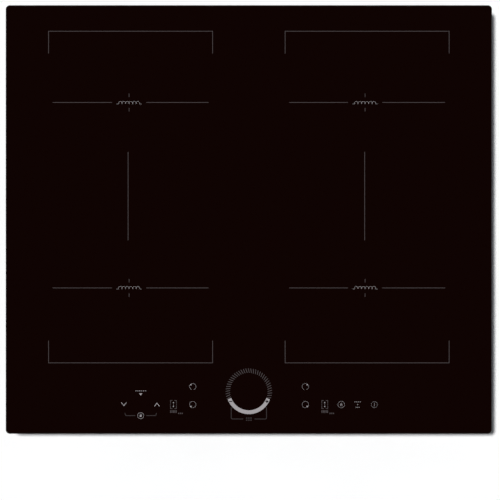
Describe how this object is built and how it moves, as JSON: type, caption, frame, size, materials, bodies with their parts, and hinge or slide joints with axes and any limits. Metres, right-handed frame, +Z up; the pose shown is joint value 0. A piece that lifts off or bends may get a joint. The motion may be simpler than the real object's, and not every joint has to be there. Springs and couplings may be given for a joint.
{
  "type": "built-in induction hob",
  "caption": "Built-in induction hob: a flush black glass-ceramic top with touch controls over a shallow vented steel case that drops into a worktop cut-out.",
  "frame": {"origin": "middle of the underside, on the plane the hob stands on", "axes": "+Z up through the glass, -Y the front edge with the controls, +X to the user's right"},
  "size_m": [0.59, 0.52, 0.058],
  "materials": {
    "glass_ceramic": "fire-polished black glass-ceramic, white print",
    "seal_foam": "closed-cell foam strip",
    "silicone": "cured silicone adhesive",
    "zinc_sheet": "hot-dip galvanised sheet, fine spangle",
    "zinc_screw": "zinc-plated, cold headed",
    "zinc_clamp": "zinc-plated, stamped",
    "yellow_zinc": "yellow passivated zinc",
    "aluminium_sheet": "rolled sheet, mill finish",
    "extruded_aluminium": "extruded, mill finish",
    "ferrite": "sintered, matt",
    "former_plastic": "moulded glass-filled polyester",
    "copper": "enamelled litz wire",
    "mica_fibre": "mica-faced fibre disc",
    "sensor_ceramic": "sintered ceramic cap",
    "spring_steel": "drawn spring wire",
    "black_plastic": "moulded glass-filled polyamide",
    "circuit_board": "solder-masked laminate",
    "capacitor_case": "moulded box",
    "relay_case": "moulded box",
    "motor_metal": "pressed can",
    "terminal_plastic": "moulded flame-retardant polyamide",
    "terminal_ivory": "moulded polyamide",
    "carrier_plastic": "moulded polycarbonate",
    "pad_foam": "conductive foam",
    "display_plastic": "white reflector",
    "red_silicone": "silicone-insulated lead",
    "wire_insulation": "insulated wire and flat ribbon"
  },
  "bodies": {
    "root": {"glass_top": "glass_ceramic", "rim_seal": "seal_foam", "bonding_bead": "silicone", "glass_frame": "zinc_sheet", "bottom_case": "zinc_sheet", "bottom_pan": "zinc_sheet", "terminal_recess": "zinc_sheet", "case_screws": "zinc_screw", "centre_beam": "zinc_sheet", "side_rails": "zinc_sheet", "coil_plates": "aluminium_sheet", "ferrite_bars": "ferrite", "coil_former_front_left": "former_plastic", "coil_former_front_right": "former_plastic", "coil_former_back_left": "former_plastic", "coil_former_back_right": "former_plastic", "coil_winding_front_left": "copper", "coil_winding_front_right": "copper", "coil_winding_back_left": "copper", "coil_winding_back_right": "copper", "insulation_discs": "mica_fibre", "sensor_spring_front_left": "spring_steel", "sensor_spring_front_right": "spring_steel", "sensor_spring_back_left": "spring_steel", "sensor_spring_back_right": "spring_steel", "board_tray": "black_plastic", "power_boards": "circuit_board", "heat_sinks": "extruded_aluminium", "film_capacitors": "capacitor_case", "filter_chokes": "copper", "transistors": "black_plastic", "relays": "relay_case", "fan_housing": "black_plastic", "fan_motor": "motor_metal", "filter_boards": "circuit_board", "terminal_box": "terminal_plastic", "inlet_block": "terminal_plastic", "terminal_block": "terminal_ivory", "terminal_pin": "spring_steel", "touch_board": "circuit_board", "touch_carrier": "carrier_plastic", "touch_pads": "pad_foam", "display_modules": "display_plastic", "clamp_nuts": "yellow_zinc", "coil_leads": "red_silicone", "wiring_harness": "wire_insulation"},
    "fan_rotor": {"fan_rotor": "black_plastic"},
    "terminal_cover": {"terminal_cover": "terminal_plastic"},
    "clamp_screw_front_left": {"clamp_screw_front_left": "zinc_screw"},
    "clamp_arm_front_left": {"clamp_arm_front_left": "zinc_clamp"},
    "sensor_front_left": {"sensor_front_left": "sensor_ceramic"},
    "clamp_screw_front_right": {"clamp_screw_front_right": "zinc_screw"},
    "clamp_arm_front_right": {"clamp_arm_front_right": "zinc_clamp"},
    "sensor_front_right": {"sensor_front_right": "sensor_ceramic"},
    "clamp_screw_back_left": {"clamp_screw_back_left": "zinc_screw"},
    "clamp_arm_back_left": {"clamp_arm_back_left": "zinc_clamp"},
    "sensor_back_left": {"sensor_back_left": "sensor_ceramic"},
    "clamp_screw_back_right": {"clamp_screw_back_right": "zinc_screw"},
    "clamp_arm_back_right": {"clamp_arm_back_right": "zinc_clamp"},
    "sensor_back_right": {"sensor_back_right": "sensor_ceramic"}
  },
  "joints": [
    {"name": "fan_spin", "type": "hinge", "parent": "root", "child": "fan_rotor", "pos_m": [0, 0.1402, 0.015], "axis": [0, 0, 1], "continuous": true},
    {"name": "terminal_cover_hinge", "type": "hinge", "parent": "root", "child": "terminal_cover", "pos_m": [0.1812, 0.1684, 0.0031], "axis": [-1, 0, 0], "range_deg": [0, 90]},
    {"name": "clamp_screw_front_left_rise", "type": "slide", "parent": "root", "child": "clamp_screw_front_left", "axis": [0, 0, 1], "range_m": [0, 0.0075]},
    {"name": "clamp_arm_front_left_swing", "type": "hinge", "parent": "clamp_screw_front_left", "child": "clamp_arm_front_left", "pos_m": [-0.258, -0.15, 0.005], "axis": [0, 0, 1], "range_deg": [0, 90]},
    {"name": "clamp_screw_front_right_rise", "type": "slide", "parent": "root", "child": "clamp_screw_front_right", "axis": [0, 0, 1], "range_m": [0, 0.0075]},
    {"name": "clamp_arm_front_right_swing", "type": "hinge", "parent": "clamp_screw_front_right", "child": "clamp_arm_front_right", "pos_m": [0.258, -0.15, 0.005], "axis": [0, 0, -1], "range_deg": [0, 90]},
    {"name": "clamp_screw_back_left_rise", "type": "slide", "parent": "root", "child": "clamp_screw_back_left", "axis": [0, 0, 1], "range_m": [0, 0.0075]},
    {"name": "clamp_arm_back_left_swing", "type": "hinge", "parent": "clamp_screw_back_left", "child": "clamp_arm_back_left", "pos_m": [-0.258, 0.15, 0.005], "axis": [0, 0, -1], "range_deg": [0, 90]},
    {"name": "clamp_screw_back_right_rise", "type": "slide", "parent": "root", "child": "clamp_screw_back_right", "axis": [0, 0, 1], "range_m": [0, 0.0075]},
    {"name": "clamp_arm_back_right_swing", "type": "hinge", "parent": "clamp_screw_back_right", "child": "clamp_arm_back_right", "pos_m": [0.258, 0.15, 0.005], "axis": [0, 0, 1], "range_deg": [0, 90]},
    {"name": "sensor_front_left_press", "type": "slide", "parent": "root", "child": "sensor_front_left", "axis": [0, 0, 1], "range_m": [-0.0015, 0], "stiffness_N_per_m": 300, "springref_m": 0.002, "deforming": ["sensor_spring_front_left"]},
    {"name": "sensor_front_right_press", "type": "slide", "parent": "root", "child": "sensor_front_right", "axis": [0, 0, 1], "range_m": [-0.0015, 0], "stiffness_N_per_m": 300, "springref_m": 0.002, "deforming": ["sensor_spring_front_right"]},
    {"name": "sensor_back_left_press", "type": "slide", "parent": "root", "child": "sensor_back_left", "axis": [0, 0, 1], "range_m": [-0.0015, 0], "stiffness_N_per_m": 300, "springref_m": 0.002, "deforming": ["sensor_spring_back_left"]},
    {"name": "sensor_back_right_press", "type": "slide", "parent": "root", "child": "sensor_back_right", "axis": [0, 0, 1], "range_m": [-0.0015, 0], "stiffness_N_per_m": 300, "springref_m": 0.002, "deforming": ["sensor_spring_back_right"]}
  ]
}
